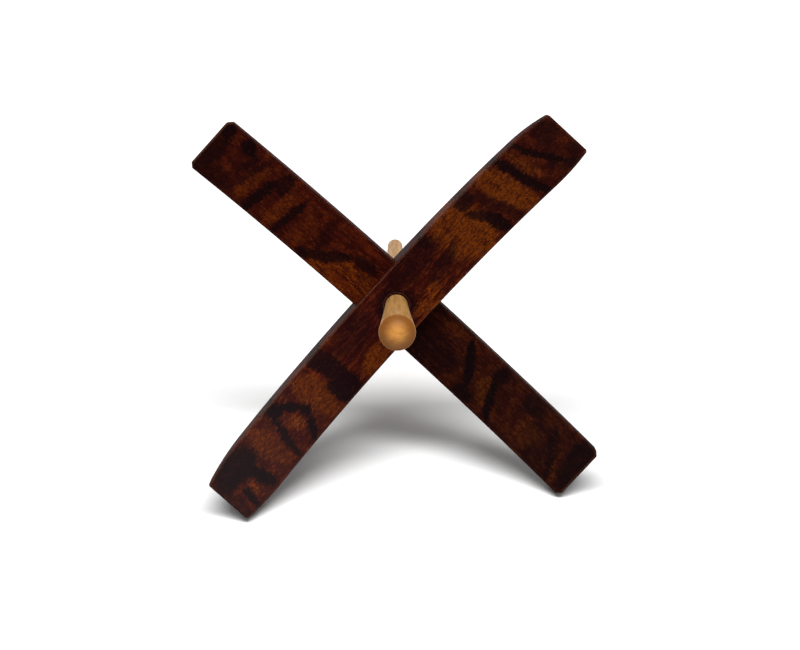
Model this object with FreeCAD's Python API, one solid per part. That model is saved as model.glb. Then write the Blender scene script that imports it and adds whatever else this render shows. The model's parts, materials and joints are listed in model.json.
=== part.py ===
import FreeCAD, Part
import math
import os

# Turkish-type drop spindle: two bowed wooden arms that cross, and a tapered shaft through both.
# Millimetres, +Z up. The spindle lies at rest on two arm tips and the thin end of its shaft.
# Each piece is drawn in the spindle's own frame first: the shaft's axis is Z, its thick end is
# towards +Z, and the point where the arms cross is the origin. Then all of it is laid down.

Vector = FreeCAD.Vector
ORIGIN = Vector(0, 0, 0)
Z_AXIS = Vector(0, 0, 1)

# Arms
ARM_WIDTH = 12.7
EDGE_RADIUS = 0.35
TIP_CURVE_LENGTH = 9.0

OUTER_LENGTH = 103.4
OUTER_THICKNESS = 12.8
OUTER_TIP_THICKNESS = 4.4
OUTER_BOW = 17.6
OUTER_TIP_NARROWING = 0.9
OUTER_CORNER_CUT = 0.35
OUTER_HOLE_OFFSET = 0.6

INNER_LENGTH = 105.2
INNER_THICKNESS = 5.4
INNER_TIP_THICKNESS = 4.0
INNER_BOW = 11.2
INNER_TIP_NARROWING = 0.0
INNER_CORNER_CUT = 0.9
INNER_HOLE_OFFSET = 0.15

# Shaft
SHAFT_THICK_END = 42.2
SHAFT_THIN_END = 101.7
THICK_RADIUS = 3.65
SEAT_RADIUS = 2.42
SPIGOT_RADIUS = 2.05
SPIGOT_LENGTH = 12.0
FLARE_RISE = 0.44
SHOULDER_HEIGHT = 0.55
SHOULDER_INSET = 0.45
CAP_HEIGHT = 1.75

# Each arm is turned this many degrees about the shaft.
OUTER_ARM_TURN = 45
INNER_ARM_TURN = 135

# Fits
BORE_CLEARANCE = 0.03
SLOT_CLEARANCE = 0.08
MOUTH_BEVEL = 0.3
SEAT_ABOVE_ARM = 0.8

half_width = ARM_WIDTH / 2
seat_top = OUTER_THICKNESS / 2 + SEAT_ABOVE_ARM
spigot_start = -SHAFT_THIN_END + SPIGOT_RADIUS + SPIGOT_LENGTH
taper_slope = (SEAT_RADIUS - SPIGOT_RADIUS) / (seat_top - spigot_start)


def seat_radius_at(height):
    """Radius of the shaft's long taper at a height along the axis."""
    return SEAT_RADIUS - taper_slope * (seat_top - height)


def side_profile(length, thickness, tip_thickness, bow):
    """Side view of an arm: two arcs, one on each face, and two square ends."""
    half_length = length / 2
    face = thickness / 2
    tip_front = face + bow
    tip_back = tip_front - tip_thickness
    front_left = Vector(-half_length, 0, tip_front)
    front_right = Vector(half_length, 0, tip_front)
    back_left = Vector(-half_length, 0, tip_back)
    back_right = Vector(half_length, 0, tip_back)
    edges = [
        Part.Arc(front_left, Vector(0, 0, face), front_right).toShape(),
        Part.LineSegment(front_right, back_right).toShape(),
        Part.Arc(back_right, Vector(0, 0, -face), back_left).toShape(),
        Part.LineSegment(back_left, front_left).toShape(),
    ]
    return Part.Face(Part.Wire(edges))


def plan_profile(length, narrowing, corner_cut):
    """Top view of an arm: straight sides, ends drawn in by narrowing, and corners cut off."""
    half_length = length / 2
    tip_half_width = half_width - narrowing
    corner_x = half_length - corner_cut
    curve_x = half_length - TIP_CURVE_LENGTH
    middle_x = (corner_x + curve_x) / 2
    middle_y = half_width - narrowing / 4

    def tip_points(way, side):
        """One corner, from the straight side to the end face."""
        return [
            Vector(way * curve_x, side * half_width, 0),
            Vector(way * middle_x, side * middle_y, 0),
            Vector(way * corner_x, side * tip_half_width, 0),
            Vector(way * half_length, side * (tip_half_width - corner_cut), 0),
        ]

    def drawn_in_edge(start, middle, end):
        if narrowing == 0:
            return Part.LineSegment(start, end).toShape()
        return Part.Arc(start, middle, end).toShape()

    edges = []
    for way in (1, -1):
        straight, middle, corner, end = tip_points(way, -way)
        next_straight, next_middle, next_corner, next_end = tip_points(way, way)
        far_straight = tip_points(-way, way)[0]
        edges += [
            drawn_in_edge(straight, middle, corner),
            Part.LineSegment(corner, end).toShape(),
            Part.LineSegment(end, next_end).toShape(),
            Part.LineSegment(next_end, next_corner).toShape(),
            drawn_in_edge(next_corner, next_middle, next_straight),
            Part.LineSegment(next_straight, far_straight).toShape(),
        ]
    return Part.Face(Part.Wire(edges))


def arm_blank(length, thickness, tip_thickness, bow, narrowing, corner_cut):
    """An arm with no holes, along X, bowed towards +Z, its edges eased."""
    slab = side_profile(length, thickness, tip_thickness, bow).extrude(Vector(0, 2 * ARM_WIDTH, 0))
    slab.translate(Vector(0, -ARM_WIDTH, 0))
    height = thickness + 2 * bow
    plan = plan_profile(length, narrowing, corner_cut).extrude(Vector(0, 0, height))
    plan.translate(Vector(0, 0, -thickness))
    blank = slab.common(plan).removeSplitter().Solids[0]
    return blank.makeFillet(EDGE_RADIUS, blank.Edges)


def shaft_bore():
    """The tapered hole that the shaft's taper seats in."""
    bottom = -OUTER_THICKNESS
    top = OUTER_THICKNESS
    return Part.makeCone(
        seat_radius_at(bottom) + BORE_CLEARANCE,
        seat_radius_at(top) + BORE_CLEARANCE,
        top - bottom,
        Vector(0, 0, bottom),
        Z_AXIS,
    )


def bore_mouth(way):
    """The small bevel round the bore where it leaves the outer arm, towards way along Z."""
    face = way * OUTER_THICKNESS / 2
    radius = seat_radius_at(face) + BORE_CLEARANCE
    wide = radius + 2 * MOUTH_BEVEL
    start = Vector(0, 0, face - way * MOUTH_BEVEL)
    return Part.makeCone(radius, wide, 2 * MOUTH_BEVEL, start, Z_AXIS * way)


def inner_arm_slot():
    """The slot through the outer arm. It is straight, so it clears the inner arm's bow."""
    bow_in_slot = INNER_BOW * (ARM_WIDTH / INNER_LENGTH) ** 2
    height = INNER_THICKNESS + bow_in_slot + 2 * SLOT_CLEARANCE
    width = ARM_WIDTH + 2 * SLOT_CLEARANCE
    corner = Vector(-width / 2, -ARM_WIDTH, -INNER_THICKNESS / 2 - SLOT_CLEARANCE)
    return Part.makeBox(width, 2 * ARM_WIDTH, height, corner)


def make_outer_arm():
    arm = arm_blank(
        OUTER_LENGTH,
        OUTER_THICKNESS,
        OUTER_TIP_THICKNESS,
        OUTER_BOW,
        OUTER_TIP_NARROWING,
        OUTER_CORNER_CUT,
    )
    arm.translate(Vector(-OUTER_HOLE_OFFSET, 0, 0))
    arm = arm.cut(inner_arm_slot()).cut(shaft_bore()).cut(bore_mouth(1)).cut(bore_mouth(-1))
    arm.rotate(ORIGIN, Z_AXIS, OUTER_ARM_TURN)
    return arm


def make_inner_arm():
    arm = arm_blank(
        INNER_LENGTH,
        INNER_THICKNESS,
        INNER_TIP_THICKNESS,
        INNER_BOW,
        INNER_TIP_NARROWING,
        INNER_CORNER_CUT,
    )
    arm.translate(Vector(-INNER_HOLE_OFFSET, 0, 0))
    arm = arm.cut(shaft_bore())
    arm.rotate(ORIGIN, Z_AXIS, INNER_ARM_TURN)
    return arm


def round_cap(rim_radius, height, tip_height, way):
    """A spherical cap's arc from the axis to its rim; way is +1 for a cap that faces +Z."""
    sphere_radius = (height**2 + rim_radius**2) / (2 * height)
    centre = tip_height - way * sphere_radius
    half_angle = math.asin(rim_radius / sphere_radius) / 2
    tip = Vector(0, 0, tip_height)
    middle = Vector(
        sphere_radius * math.sin(half_angle),
        0,
        centre + way * sphere_radius * math.cos(half_angle),
    )
    rim = Vector(rim_radius, 0, tip_height - way * height)
    return Part.Arc(tip, middle, rim).toShape(), rim


def make_shaft():
    """Thin rounded end, straight spigot, long taper, flare and domed thick end, turned about Z."""
    thin_cap, thin_rim = round_cap(SPIGOT_RADIUS, SPIGOT_RADIUS, -SHAFT_THIN_END, -1)
    thick_cap, cap_rim = round_cap(THICK_RADIUS - SHOULDER_INSET, CAP_HEIGHT, SHAFT_THICK_END, 1)
    spigot_end = Vector(SPIGOT_RADIUS, 0, spigot_start)
    seat_end = Vector(SEAT_RADIUS, 0, seat_top)
    flare_end = Vector(THICK_RADIUS, 0, cap_rim.z - SHOULDER_HEIGHT)
    flare_middle = Vector(
        SEAT_RADIUS + FLARE_RISE * (THICK_RADIUS - SEAT_RADIUS),
        0,
        (seat_end.z + flare_end.z) / 2,
    )
    shoulder_middle = Vector(
        THICK_RADIUS - 0.25 * SHOULDER_INSET,
        0,
        flare_end.z + 0.6 * SHOULDER_HEIGHT,
    )
    thick_tip = Vector(0, 0, SHAFT_THICK_END)
    thin_tip = Vector(0, 0, -SHAFT_THIN_END)
    edges = [
        thin_cap,
        Part.LineSegment(thin_rim, spigot_end).toShape(),
        Part.LineSegment(spigot_end, seat_end).toShape(),
        Part.Arc(seat_end, flare_middle, flare_end).toShape(),
        Part.Arc(flare_end, shoulder_middle, cap_rim).toShape(),
        thick_cap,
        Part.LineSegment(thick_tip, thin_tip).toShape(),
    ]
    return Part.Face(Part.Wire(edges)).revolve(ORIGIN, Z_AXIS, 360).Solids[0]


def resting_up(outer_arm, inner_arm):
    """The direction that points up when the two lower arm tips and the thin shaft end touch down."""
    thin_centre = Vector(0, 0, -SHAFT_THIN_END + SPIGOT_RADIUS)
    up = Vector(0, 1, 0.3)
    lower_left = [vertex.Point for vertex in outer_arm.Vertexes if vertex.X < 0]
    lower_right = [vertex.Point for vertex in inner_arm.Vertexes if vertex.X > 0]
    for _ in range(8):
        left = min(lower_left, key=up.dot)
        right = min(lower_right, key=up.dot)
        along = (right - left).normalize()
        reach = thin_centre - left
        reach = reach - along * reach.dot(along)
        tilt = math.asin(SPIGOT_RADIUS / reach.Length)
        reach.normalize()
        upward = along.cross(reach)
        if upward.y < 0:
            upward = -upward
        up = upward * math.cos(tilt) + reach * math.sin(tilt)
    return up


def lay_down(shapes):
    """Turn the pieces to rest on Z = 0 with the shaft along Y, thick end towards -Y."""
    up = resting_up(shapes["outer_arm"], shapes["inner_arm"])
    backward = Z_AXIS.negative()
    backward = (backward - up * backward.dot(up)).normalize()
    sideways = backward.cross(up)
    matrix = FreeCAD.Matrix(
        sideways.x, sideways.y, sideways.z, 0,
        backward.x, backward.y, backward.z, 0,
        up.x, up.y, up.z, 0,
        0, 0, 0, 1,
    )
    turn = FreeCAD.Placement(matrix)
    for shape in shapes.values():
        shape.Placement = turn.multiply(shape.Placement)
    box = Part.makeCompound(list(shapes.values())).optimalBoundingBox(False, False)
    middle = Vector(-box.Center.x, -box.Center.y, -box.ZMin)
    for shape in shapes.values():
        shape.translate(middle)
    return turn, middle


def main():
    os.makedirs("parts", exist_ok=True)
    shapes = {
        "shaft": make_shaft(),
        "outer_arm": make_outer_arm(),
        "inner_arm": make_inner_arm(),
    }
    turn, middle = lay_down(shapes)
    for name, shape in shapes.items():
        shape.exportStep("parts/" + name + ".step")
        print(name, "valid", shape.isValid(), "volume", round(shape.Volume, 1))
    print("crossing", turn.multVec(ORIGIN) + middle)
    print("spigot middle", turn.multVec(Vector(0, 0, spigot_start - SPIGOT_LENGTH / 2)) + middle)
    print("towards the thick end", turn.Rotation.multVec(Z_AXIS))
    print("up in the spindle's own frame", turn.Rotation.inverted().multVec(Z_AXIS))


main()
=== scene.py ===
import json
import math

import bpy
import mathutils


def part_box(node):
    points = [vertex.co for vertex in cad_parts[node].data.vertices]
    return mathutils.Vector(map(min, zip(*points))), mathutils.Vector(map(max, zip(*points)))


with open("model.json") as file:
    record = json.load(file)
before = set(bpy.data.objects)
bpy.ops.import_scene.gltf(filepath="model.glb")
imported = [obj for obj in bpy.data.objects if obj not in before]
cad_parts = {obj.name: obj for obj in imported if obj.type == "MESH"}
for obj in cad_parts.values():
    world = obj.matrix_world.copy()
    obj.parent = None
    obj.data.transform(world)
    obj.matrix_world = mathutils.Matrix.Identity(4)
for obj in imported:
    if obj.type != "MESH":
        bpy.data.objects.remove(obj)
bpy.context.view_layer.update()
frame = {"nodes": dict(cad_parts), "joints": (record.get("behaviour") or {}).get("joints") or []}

Vector = mathutils.Vector
Matrix = mathutils.Matrix

# Everything is in metres and in the CAD's own frame, where the spindle lies on Z = 0 with the
# shaft's thick end towards -Y. Lengths named _MM are millimetres.
MM = 0.001

# ---------------------------------------------------------------- camera
CAMERA_PLACE = Vector((-0.00218, -0.35717, 0.20437))
CAMERA_TARGET = Vector((0.00072, -0.03052, 0.02944))
CAMERA_ROLL = math.radians(0.87)
SENSOR_WIDTH = 36.0
FOCAL_LENGTH = 76.5
CLIP_START = 0.01
CLIP_END = 20.0


def make_camera():
    data = bpy.data.cameras.new("camera")
    data.sensor_width = SENSOR_WIDTH
    data.lens = FOCAL_LENGTH
    data.clip_start = CLIP_START
    data.clip_end = CLIP_END
    camera = bpy.data.objects.new("camera", data)
    bpy.context.scene.collection.objects.link(camera)
    aim = (CAMERA_TARGET - CAMERA_PLACE).to_track_quat("-Z", "Y")
    roll = mathutils.Quaternion((0, 0, 1), CAMERA_ROLL)
    camera.location = CAMERA_PLACE
    camera.rotation_mode = "QUATERNION"
    camera.rotation_quaternion = aim @ roll
    bpy.context.scene.camera = camera


# ---------------------------------------------------------------- wood coordinates
SHAFT_AXIS = Vector(frame["joints"][0]["axis"]).normalized()
DIRECTION_ROUNDS = 4


def shaft_top():
    """The tip of the shaft's dome, which lies on the shaft's axis."""
    points = [v.co for v in frame["nodes"]["shaft"].data.vertices]
    return max(points, key=SHAFT_AXIS.dot)


def shaft_middle():
    """The point on the shaft's axis beside the place where the arms cross."""
    top = shaft_top()
    low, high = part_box("inner_arm")
    middle = (low + high) / 2
    return top + SHAFT_AXIS * (middle - top).dot(SHAFT_AXIS)


def arm_frame(node, rising):
    """An arm's own frame, and its origin on the shaft: X along it, Y across it, Z along the shaft.

    The arm's +X end is its high end, which lies to the right where rising is +1. The direction
    along the arm is the mean of its points, with those of its low half turned round.
    """
    origin = shaft_middle()
    points = [v.co - origin for v in frame["nodes"][node].data.vertices]
    along = Vector((rising, 0.0, 1.0))
    for _ in range(DIRECTION_ROUNDS):
        ends = sum((p if p.dot(along) > 0 else -p for p in points), Vector())
        along = (ends - SHAFT_AXIS * ends.dot(SHAFT_AXIS)).normalized()
    across = SHAFT_AXIS.cross(along)
    turn = Matrix((along, across, SHAFT_AXIS)).transposed()
    return turn, origin


# ---------------------------------------------------------------- node helpers
NOISE_MIDDLE = (0.5, 0.5, 0.5)


class Nodes:
    """Adds shader nodes to one material, each with its inputs given by name or number."""

    def __init__(self, name):
        self.material = bpy.data.materials.new(name)
        self.material.use_nodes = True
        self.tree = self.material.node_tree
        self.tree.nodes.clear()

    def add(self, kind, inputs=None, **settings):
        node = self.tree.nodes.new("ShaderNode" + kind)
        for key, value in settings.items():
            setattr(node, key, value)
        self.fill(node, inputs or {})
        return node

    def fill(self, node, inputs):
        for key, value in inputs.items():
            if isinstance(value, bpy.types.NodeSocket):
                self.tree.links.new(value, node.inputs[key])
            else:
                node.inputs[key].default_value = value

    def math(self, operation, a, b=0.0):
        return self.add("Math", {0: a, 1: b}, operation=operation).outputs[0]

    def vector(self, operation, a, b=(0, 0, 0)):
        node = self.add("VectorMath", {0: a, 1: b}, operation=operation)
        return node.outputs[1 if operation in ("LENGTH", "DOT_PRODUCT") else 0]

    def scale(self, vector, factor):
        return self.add("VectorMath", {0: vector, 3: factor}, operation="SCALE").outputs[0]

    def part(self, vector, axis):
        return self.add("SeparateXYZ", {0: vector}).outputs[axis]

    def noise(self, place, cells, detail=3.0, roughness=0.5, distortion=0.0, colour=False):
        """Noise with so many cells in a millimetre on the wood's own X, Y and Z."""
        inputs = {
            "Vector": self.vector("MULTIPLY", place, cells),
            "Scale": 1.0,
            "Detail": detail,
            "Roughness": roughness,
            "Distortion": distortion,
        }
        return self.add("TexNoise", inputs).outputs[1 if colour else 0]

    def step(self, value, start, end, low=0.0, high=1.0):
        """Goes smoothly from low to high while the value goes from start to end."""
        inputs = {"Value": value, 1: start, 2: end, 3: low, 4: high}
        return self.add("MapRange", inputs, interpolation_type="SMOOTHSTEP").outputs[0]

    def mix(self, factor, a, b, blend="MIX"):
        node = self.add("Mix", {0: factor, 6: a, 7: b}, data_type="RGBA", blend_type=blend)
        return node.outputs[2]

    def lay(self, colour, over, value, start, end, amount=1.0):
        """Lays one colour over another: none at the value start, and the amount at the value end."""
        return self.mix(self.step(value, start, end, high=amount), colour, over)

    def wood_place(self, origin, turn):
        """The place in the wood's own frame, in millimetres."""
        position = self.add("TexCoord").outputs["Object"]
        inputs = {"Vector": position, "Location": origin, "Rotation": turn}
        local = self.add("Mapping", inputs, vector_type="TEXTURE").outputs[0]
        return self.scale(local, 1 / MM)

    def finish(self, inputs):
        shader = self.add("BsdfPrincipled", inputs)
        self.add("OutputMaterial", {0: shader.outputs[0]})
        return self.material


def rgb(red, green, blue):
    return (red, green, blue, 1.0)


# ---------------------------------------------------------------- figured dark wood
# The figure, with a little painted shade and shadow near the shaft, is drawn in each arm's own frame
# in millimetres, as soft ellipses. Each is (along, across, half length, half width, turn in degrees,
# strength).
DARK_FIGURE_AND_SHADE = {
    "outer_arm": [
        (-46.5, 3.0, 5.0, 3.6, 0, 0.9),
        (-51.6, 0.0, 1.4, 8.0, 0, 0.6),
        (-48.9, -3.5, 0.8, 2.6, -8, 1.0),
        (-44.2, -2.2, 1.3, 3.6, 12, 1.0),
        (-33.6, 4.8, 1.7, 2.0, 0, 1.0),
        (-35.6, -0.5, 0.8, 6.8, -12, 0.9),
        (-30.8, 2.8, 1.0, 3.0, 48, 1.0),
        (-29.0, 0.0, 1.2, 1.6, 0, 1.0),
        (-30.8, -3.8, 1.0, 2.8, -30, 1.0),
        (-20.2, -4.2, 2.8, 4.4, 24, 1.0),
        (-19.2, 2.0, 2.4, 9.0, 6, 0.95),
        (-11.0, 3.0, 5.5, 3.6, 5, 0.6),
        # Painted shade: a dark ring on the arm all round the shaft.
        (0.0, 0.0, 4.3, 4.3, 0, 0.85),
        (8.5, 3.6, 8.0, 3.0, 3, 0.65),
        (14.0, 5.2, 1.7, 1.6, 0, 0.9),
        (14.0, -1.0, 5.5, 1.5, 12, 0.65),
        (26.4, 4.6, 2.4, 1.8, 0, 0.85),
        (26.0, 0.6, 1.1, 2.8, 32, 0.9),
        (28.2, -3.6, 1.3, 3.8, 16, 1.0),
        (30.6, -1.0, 1.3, 8.0, 17, 0.5),
        (38.5, 0.0, 1.15, 9.0, 14, 1.0),
        (44.2, 0.8, 0.8, 7.0, 28, 0.95),
        (44.6, -2.4, 1.8, 1.0, 20, 0.55),
        (48.2, 3.6, 2.6, 3.0, 0, 0.65),
        (46.6, -4.4, 2.2, 1.3, 0, 0.6),
        (49.6, -2.4, 1.4, 1.8, 0, 0.5),
        (52.6, 0.0, 1.7, 9.0, 0, 0.8),
    ],
    "inner_arm": [
        # Painted shadow cast by the outer arm on this arm's low half, beside the crossing.
        (-12.0, 2.5, 6.5, 4.6, 0, 0.6),
        (-8.0, 0.5, 1.5, 2.0, 0, 0.6),
        (-20.5, -1.0, 1.2, 5.8, 34, 1.0),
        (-28.8, 1.6, 0.9, 5.8, 30, 1.0),
        (-27.4, -4.0, 1.6, 1.8, 0, 0.9),
        (-23.5, 4.8, 2.6, 1.5, 0, 0.85),
        (-37.0, -4.0, 2.8, 2.0, 0, 0.75),
        (-45.6, 1.0, 1.0, 6.5, 30, 0.7),
        (-50.8, -1.0, 2.6, 6.5, 6, 0.8),
        (-42.0, 1.0, 2.6, 8.0, 28, 0.3),
        (18.6, 2.6, 6.6, 1.3, 34, 0.95),
        (10.5, -1.8, 3.2, 1.5, 10, 0.8),
        (21.0, -1.0, 1.3, 6.0, 12, 0.5),
        (22.4, 5.2, 1.7, 1.2, 0, 0.85),
        (29.8, 1.5, 0.9, 5.2, -8, 0.95),
        (35.0, -3.4, 1.7, 2.8, 0, 0.85),
        (37.6, 2.0, 1.1, 5.8, -8, 1.0),
        (45.4, -4.6, 1.8, 1.7, 0, 1.0),
        (43.4, -2.0, 0.8, 3.4, -16, 0.7),
        (51.0, -4.6, 1.6, 1.8, 0, 1.0),
        (41.6, -1.0, 0.7, 5.0, -12, 0.6),
        (47.0, 4.4, 4.6, 2.2, 0, 0.7),
        (51.6, 0.0, 2.8, 9.0, 0, 0.8),
    ],
}
GOLD_FIGURE = {
    "outer_arm": [
        (-39.4, 1.0, 2.4, 6.0, 6, 0.35),
        (-32.2, -0.6, 1.3, 1.7, 0, 0.75),
        (-25.2, 0.0, 3.1, 6.5, 8, 0.55),
        (-11.0, -4.2, 4.8, 2.0, 6, 0.8),
        (5.2, -3.6, 4.4, 2.6, 0, 1.0),
        (21.6, 0.4, 5.6, 7.5, 20, 1.0),
        (34.0, 0.6, 3.0, 7.5, 16, 1.0),
        (40.6, 1.6, 1.3, 4.2, 14, 0.6),
        (-47.0, -2.8, 0.9, 1.4, 0, 0.6),
    ],
    "inner_arm": [
        (13.0, 3.4, 8.5, 3.6, 12, 1.0),
        (-26.6, 1.2, 1.7, 3.4, 35, 0.8),
        (-19.0, -2.0, 1.0, 3.0, 40, 0.25),
        (25.4, 1.5, 2.2, 4.0, -10, 0.3),
        (32.6, 1.4, 1.6, 4.8, -10, 0.6),
        (40.8, 1.0, 1.7, 4.8, -12, 0.5),
        (-39.6, 1.6, 2.8, 2.6, 0, 0.45),
        (-47.0, 1.5, 0.4, 4.6, 40, 0.4),
        (46.6, 2.6, 0.35, 2.8, -8, 0.4),
    ],
}
ELLIPSE_EDGE = 0.22


def ellipse_mask(n, place, ellipses):
    """As strong as the strongest of the soft ellipses, fading to nothing outside them."""
    total = None
    for along, across, half_length, half_width, turn, strength in ellipses:
        inputs = {
            "Vector": place,
            "Location": (along, across, 0),
            "Rotation": (0, 0, math.radians(turn)),
            "Scale": (half_length, half_width, 1),
        }
        local = n.add("Mapping", inputs, vector_type="TEXTURE").outputs[0]
        distance = n.vector("LENGTH", local)
        mask = n.step(distance, 1 - ELLIPSE_EDGE, 1 + ELLIPSE_EDGE, low=strength, high=0.0)
        total = mask if total is None else n.math("MAXIMUM", total, mask)
    return total


RED_BROWN = rgb(0.044, 0.0054, 0.0016)
DEEP_RED = rgb(0.020, 0.0016, 0.0012)
GOLD = rgb(0.122, 0.0245, 0.0012)
ORANGE = rgb(0.080, 0.0118, 0.0014)
PURPLE_BLACK = rgb(0.0046, 0.0008, 0.0014)
PORE = rgb(0.0050, 0.0012, 0.0010)
FLECK = rgb(0.160, 0.044, 0.010)
# Painted highlight colour for the arms' edges.
EDGE_HIGHLIGHT = rgb(0.165, 0.066, 0.036)

# Which way each arm rises, the tints of its low and high halves, and its painted sheen, which is
# a faint greyness towards its low end, standing for overhead light reflected off the upturned tip.
RISING = {"outer_arm": 1, "inner_arm": -1}
LOW_TINT = {"outer_arm": rgb(0.98, 1.0, 1.1), "inner_arm": rgb(0.46, 0.52, 0.62)}
HIGH_TINT = {"outer_arm": rgb(1.0, 1.0, 1.0), "inner_arm": rgb(0.84, 0.72, 0.66)}
LOW_END_SHEEN = {"outer_arm": rgb(0.0022, 0.0044, 0.0046), "inner_arm": rgb(0.0, 0.0004, 0.0003)}
TINT_CHANGE_MM = 5.0
# Distances along the arm where the painted sheen starts and where it is full.
SHEEN_START_MM = -12.0
SHEEN_FULL_MM = -44.0

# Noise cells in a millimetre along, across and through an arm.
WANDER_CELLS = (0.16, 0.16, 0.16)
RAGGED_CELLS = (0.77, 1.76, 1.1)
CLOUD_CELLS = (0.225, 0.405, 0.225)
PATCH_CELLS = (0.56, 0.35, 0.35)
FIBRE_CELLS = (0.38, 2.5, 1.4)
STREAK_CELLS = (0.08, 1.25, 0.8)
VEIN_CELLS = (1.5, 0.22, 0.5)
MOTTLE_CELLS = (1.44, 2.64, 1.92)
PORE_CELLS = (0.9, 9.0, 7.0)
GLINT_CELLS = (2.0, 5.0, 4.0)

# How far the figure wanders, and how far its edges are roughened along and across an arm.
WANDER_MM = 1.4
RAGGED_MM = (3.3, 1.8, 0.0)

# Streaks are strong up to the first distance from the shaft, and faint beyond the second.
STRONG_STREAKS_MM = 12.0
FAINT_STREAKS_MM = 24.0
FAINT_STREAKS = 0.25

# Width and strength of the painted highlight along the edges.
HIGHLIGHT_EDGE_MM = 0.5
EDGE_HIGHLIGHT_AMOUNT = 0.60
ARM_BUMP_MM = 0.12


def bend(n, place):
    """The place, shifted so that the figure wanders a little and its edges are ragged."""
    wander = n.noise(place, WANDER_CELLS, detail=2.0, colour=True)
    wander = n.vector("SUBTRACT", wander, NOISE_MIDDLE)
    ragged = n.noise(place, RAGGED_CELLS, detail=4.0, roughness=0.65, colour=True)
    ragged = n.vector("SUBTRACT", ragged, NOISE_MIDDLE)
    bent = n.vector("ADD", place, n.scale(wander, WANDER_MM))
    return n.vector("ADD", bent, n.vector("MULTIPLY", ragged, RAGGED_MM))


def lay_streaks(n, colour, bent, along):
    """Long dark and orange streaks along the arm, strongest beside the shaft."""
    streaks = n.noise(bent, STREAK_CELLS, roughness=0.6, distortion=0.5)
    from_shaft = n.math("ABSOLUTE", along)
    near = n.step(from_shaft, STRONG_STREAKS_MM, FAINT_STREAKS_MM, low=1.0, high=FAINT_STREAKS)
    dark = n.math("MULTIPLY", n.step(streaks, start=0.48, end=0.42, high=0.9), near)
    colour = n.mix(dark, colour, DEEP_RED)
    light = n.math("MULTIPLY", n.step(streaks, start=0.54, end=0.61, high=0.9), near)
    return n.mix(light, colour, ORANGE)


def lay_figure_and_shade(n, node, place, along, fibres, mottle):
    """The arm's colours, from its red-brown ground to the dark bands of its figure and the painted
    shade near the shaft.
    """
    bent = bend(n, place)
    flat = n.vector("MULTIPLY", bent, (1.0, 1.0, 0.0))
    clouds = n.noise(bent, CLOUD_CELLS, detail=5.0, roughness=0.6)
    colour = n.lay(DEEP_RED, RED_BROWN, clouds, start=0.38, end=0.66)
    patches = n.noise(bent, PATCH_CELLS, detail=4.0, roughness=0.55)
    colour = n.lay(colour, ORANGE, patches, start=0.50, end=0.64, amount=0.75)
    colour = n.mix(ellipse_mask(n, flat, GOLD_FIGURE[node]), colour, GOLD)

    # Fine fibres and longer streaks run along the grain.
    colour = n.lay(colour, DEEP_RED, fibres, start=0.50, end=0.38, amount=0.75)
    colour = n.lay(colour, FLECK, fibres, start=0.54, end=0.66, amount=0.38)
    colour = lay_streaks(n, colour, bent, along)

    # Thin broken veins run across the arm, between the broad bands.
    veins = n.noise(bent, VEIN_CELLS, detail=4.0, roughness=0.7, distortion=0.3)
    colour = n.lay(colour, DEEP_RED, veins, start=0.45, end=0.38, amount=0.75)
    colour = n.lay(colour, DEEP_RED, mottle, start=0.52, end=0.42, amount=0.7)
    uneven = n.step(mottle, start=0.20, end=0.56, low=1.0, high=0.93)
    # The figure's dark bands, with the painted shade around the shaft and the painted shadow beside
    # the crossing.
    dark = n.math("MULTIPLY", ellipse_mask(n, flat, DARK_FIGURE_AND_SHADE[node]), uneven)
    return n.mix(dark, colour, PURPLE_BLACK)


def lay_tints_and_sheen(n, node, colour, along):
    """The tints of the arm's low and high halves, and its painted sheen towards its low end."""
    tint = n.lay(LOW_TINT[node], HIGH_TINT[node], along, -TINT_CHANGE_MM, TINT_CHANGE_MM)
    colour = n.mix(1.0, colour, tint, blend="MULTIPLY")
    # Painted sheen: a faint grey added towards the low end.
    return n.mix(n.step(along, SHEEN_START_MM, SHEEN_FULL_MM), colour, LOW_END_SHEEN[node], blend="ADD")


def lay_edge_highlight(n, colour, mottle):
    """Painted highlight: edges laid a little paler, where the rounded edges catch the light."""
    bevel = n.add("Bevel", {"Radius": HIGHLIGHT_EDGE_MM * MM}, samples=4).outputs[0]
    normal = n.add("NewGeometry").outputs["Normal"]
    flatness = n.vector("DOT_PRODUCT", bevel, normal)
    lit_edge = n.mix(n.step(mottle, start=0.35, end=0.60, low=0.35), colour, EDGE_HIGHLIGHT)
    return n.lay(colour, lit_edge, flatness, start=0.995, end=0.90, amount=EDGE_HIGHLIGHT_AMOUNT)


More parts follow.
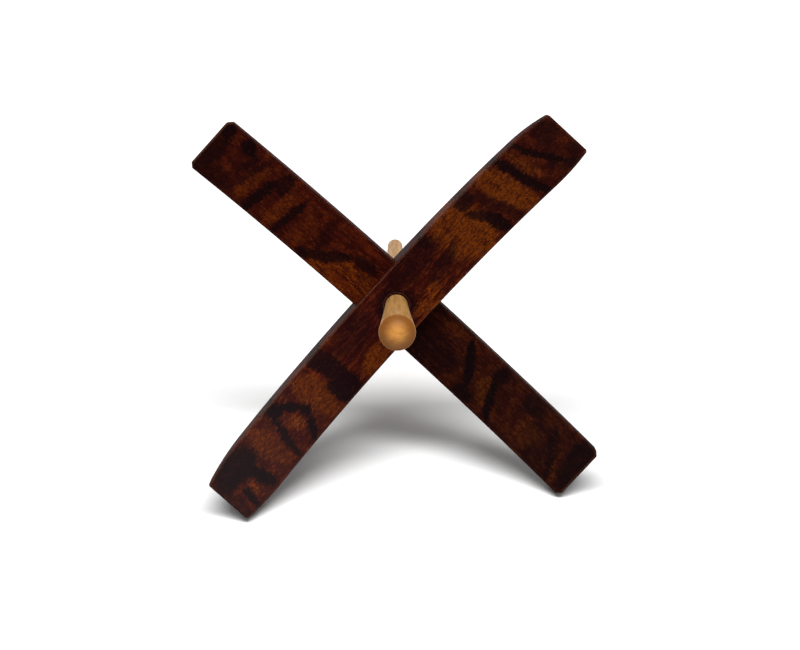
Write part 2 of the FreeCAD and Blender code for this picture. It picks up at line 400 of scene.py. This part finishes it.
def dark_wood(node):
    """Oiled, strongly figured hardwood with lengthwise pores, drawn in the arm's own frame."""
    n = Nodes(node + "_wood")
    turn, origin = arm_frame(node, RISING[node])
    place = n.wood_place(origin, turn.to_euler())
    along = n.part(place, 0)
    fibres = n.noise(place, FIBRE_CELLS, detail=5.0, roughness=0.7, distortion=0.4)
    mottle = n.noise(place, MOTTLE_CELLS, detail=4.0, roughness=0.75)
    colour = lay_figure_and_shade(n, node, place, along, fibres, mottle)

    # Open pores are short dark dashes along the grain, and some spots catch the light.
    pores = n.step(n.noise(place, PORE_CELLS, detail=2.0, roughness=0.6), start=0.63, end=0.70)
    colour = n.mix(n.math("MULTIPLY", pores, 0.9), colour, PORE)
    glints = n.noise(place, GLINT_CELLS, roughness=0.7)
    colour = n.lay(colour, FLECK, glints, start=0.62, end=0.72, amount=0.38)

    colour = lay_tints_and_sheen(n, node, colour, along)
    colour = lay_edge_highlight(n, colour, mottle)

    rough = n.step(fibres, start=0.35, end=0.70, low=0.56, high=0.68)
    rough = n.math("ADD", rough, n.math("MULTIPLY", pores, 0.15))
    height = n.math("MULTIPLY", fibres, 0.5)
    height = n.math("SUBTRACT", height, n.math("MULTIPLY", pores, 0.6))
    height = n.math("ADD", height, n.math("MULTIPLY", mottle, 0.25))
    bump = n.add("Bump", {"Height": height, "Strength": 0.35, "Distance": ARM_BUMP_MM * MM})
    return n.finish(
        {
            "Base Color": colour,
            "Roughness": rough,
            "Normal": bump.outputs[0],
            "IOR": 1.45,
            "Specular IOR Level": 0.025,
        }
    )


# ---------------------------------------------------------------- pale wood
CREAM = rgb(0.37, 0.195, 0.062)
CREAM_DEEP = rgb(0.25, 0.118, 0.032)
END_GRAIN = rgb(0.47, 0.205, 0.046)
# Painted shade at the dome's rim.
END_GRAIN_RIM_SHADE = rgb(0.175, 0.060, 0.009)
END_GRAIN_DARK = rgb(0.15, 0.050, 0.009)
RAY_FLECK = rgb(0.47, 0.28, 0.11)

# Noise cells in a millimetre across the shaft in two directions, and along it.
SIDE_GRAIN_CELLS = (1.6, 0.9, 0.07)
SIDE_CLOUD_CELLS = (0.5, 0.5, 0.06)
RAY_CELLS = (5.0, 2.0, 0.7)
END_STREAK_CELLS = (0.55, 1.5, 0.3)
SPECK_CELLS = (5.0, 5.0, 5.0)

# Heights above the top of the dome between which the side grain gives way to end grain.
DOME_START_MM = -2.22
DOME_FULL_MM = -1.92

# Distances from the shaft's axis between which the end grain darkens into painted shade towards the
# dome's rim.
DOME_PALE_MM = 0.6
DOME_DARK_MM = 3.1

SHAFT_BUMP_MM = 0.06
SUBSURFACE_MM = 0.6


def end_grain(n, place):
    """The dome's end grain: paler in the middle and darker towards the rim as painted shade of the
    rounded dome, with dark streaks and specks.
    """
    radius = n.vector("LENGTH", n.vector("MULTIPLY", place, (1.0, 1.0, 0.0)))
    # Painted shade: the end grain darkens from the middle towards the rim.
    colour = n.lay(END_GRAIN, END_GRAIN_RIM_SHADE, radius, DOME_PALE_MM, DOME_DARK_MM)
    streaks = n.noise(place, END_STREAK_CELLS, detail=5.0, roughness=0.65, distortion=0.5)
    colour = n.lay(colour, END_GRAIN_DARK, streaks, start=0.50, end=0.34, amount=0.45)
    specks = n.noise(place, SPECK_CELLS, detail=2.0, roughness=0.7)
    return n.lay(colour, END_GRAIN_DARK, specks, start=0.56, end=0.70, amount=0.25)


def pale_wood():
    """Close-grained pale hardwood: straight grain on the side and darker end grain on the dome."""
    n = Nodes("shaft_wood")
    turn = SHAFT_AXIS.to_track_quat("Z", "Y").to_euler()
    place = n.wood_place(shaft_top(), turn)

    grain = n.noise(place, SIDE_GRAIN_CELLS, detail=5.0, roughness=0.6, distortion=0.3)
    colour = n.lay(CREAM_DEEP, CREAM, grain, start=0.34, end=0.66)
    clouds = n.noise(place, SIDE_CLOUD_CELLS)
    colour = n.lay(colour, RAY_FLECK, clouds, start=0.45, end=0.75, amount=0.35)
    flecks = n.noise(place, RAY_CELLS, detail=2.0, roughness=0.6)
    colour = n.lay(colour, RAY_FLECK, flecks, start=0.60, end=0.72, amount=0.45)
    height = n.part(place, 2)
    colour = n.lay(colour, end_grain(n, place), height, DOME_START_MM, DOME_FULL_MM)

    rough = n.step(grain, start=0.3, end=0.7, low=0.52, high=0.44)
    relief = n.math("ADD", n.math("MULTIPLY", grain, 0.6), n.math("MULTIPLY", flecks, 0.3))
    bump = n.add("Bump", {"Height": relief, "Strength": 0.2, "Distance": SHAFT_BUMP_MM * MM})
    return n.finish(
        {
            "Base Color": colour,
            "Roughness": rough,
            "Normal": bump.outputs[0],
            "IOR": 1.46,
            "Specular IOR Level": 0.12,
            "Subsurface Weight": 0.05,
            "Subsurface Scale": SUBSURFACE_MM * MM,
        }
    )


def give_materials():
    wood = {
        "outer_arm": dark_wood("outer_arm"),
        "inner_arm": dark_wood("inner_arm"),
        "shaft": pale_wood(),
    }
    for node, material in wood.items():
        slots = frame["nodes"][node].data.materials
        slots.clear()
        slots.append(material)


# ---------------------------------------------------------------- floor and light
FLOOR_SIZE = 6.0
FLOOR_WHITE = rgb(0.75, 0.75, 0.75)


def make_floor():
    half = FLOOR_SIZE / 2
    mesh = bpy.data.meshes.new("floor")
    corners = [(-half, -half, 0), (half, -half, 0), (half, half, 0), (-half, half, 0)]
    mesh.from_pydata(corners, [], [(0, 1, 2, 3)])
    floor = bpy.data.objects.new("floor", mesh)
    bpy.context.scene.collection.objects.link(floor)
    white = Nodes("floor_white").finish({"Base Color": FLOOR_WHITE, "Roughness": 0.9})
    mesh.materials.append(white)


WORLD_BRIGHTNESS = 0.36
WORLD_COLOUR = rgb(1.0, 1.0, 1.0)
LIGHT_PLACE = Vector((0.0, -1.0, 4.0))
LIGHT_WIDTH = 4.8
LIGHT_DEPTH = 1.2
LIGHT_POWER = 285.0


def make_world():
    """An even pale room."""
    world = bpy.data.worlds.new("studio")
    world.use_nodes = True
    background = world.node_tree.nodes["Background"]
    background.inputs["Color"].default_value = WORLD_COLOUR
    background.inputs["Strength"].default_value = WORLD_BRIGHTNESS
    bpy.context.scene.world = world


def make_light():
    """A long soft light overhead, running from side to side and facing the floor's middle."""
    data = bpy.data.lights.new("strip", "AREA")
    data.shape = "RECTANGLE"
    data.size = LIGHT_WIDTH
    data.size_y = LIGHT_DEPTH
    data.energy = LIGHT_POWER
    light = bpy.data.objects.new("strip", data)
    bpy.context.scene.collection.objects.link(light)
    light.location = LIGHT_PLACE
    light.rotation_mode = "QUATERNION"
    light.rotation_quaternion = (-LIGHT_PLACE).to_track_quat("-Z", "Y")


# Colours are shown as they are, so the wood keeps its depth beside the white floor.
bpy.context.scene.view_settings.view_transform = "Standard"

make_camera()
give_materials()
make_floor()
make_world()
make_light()
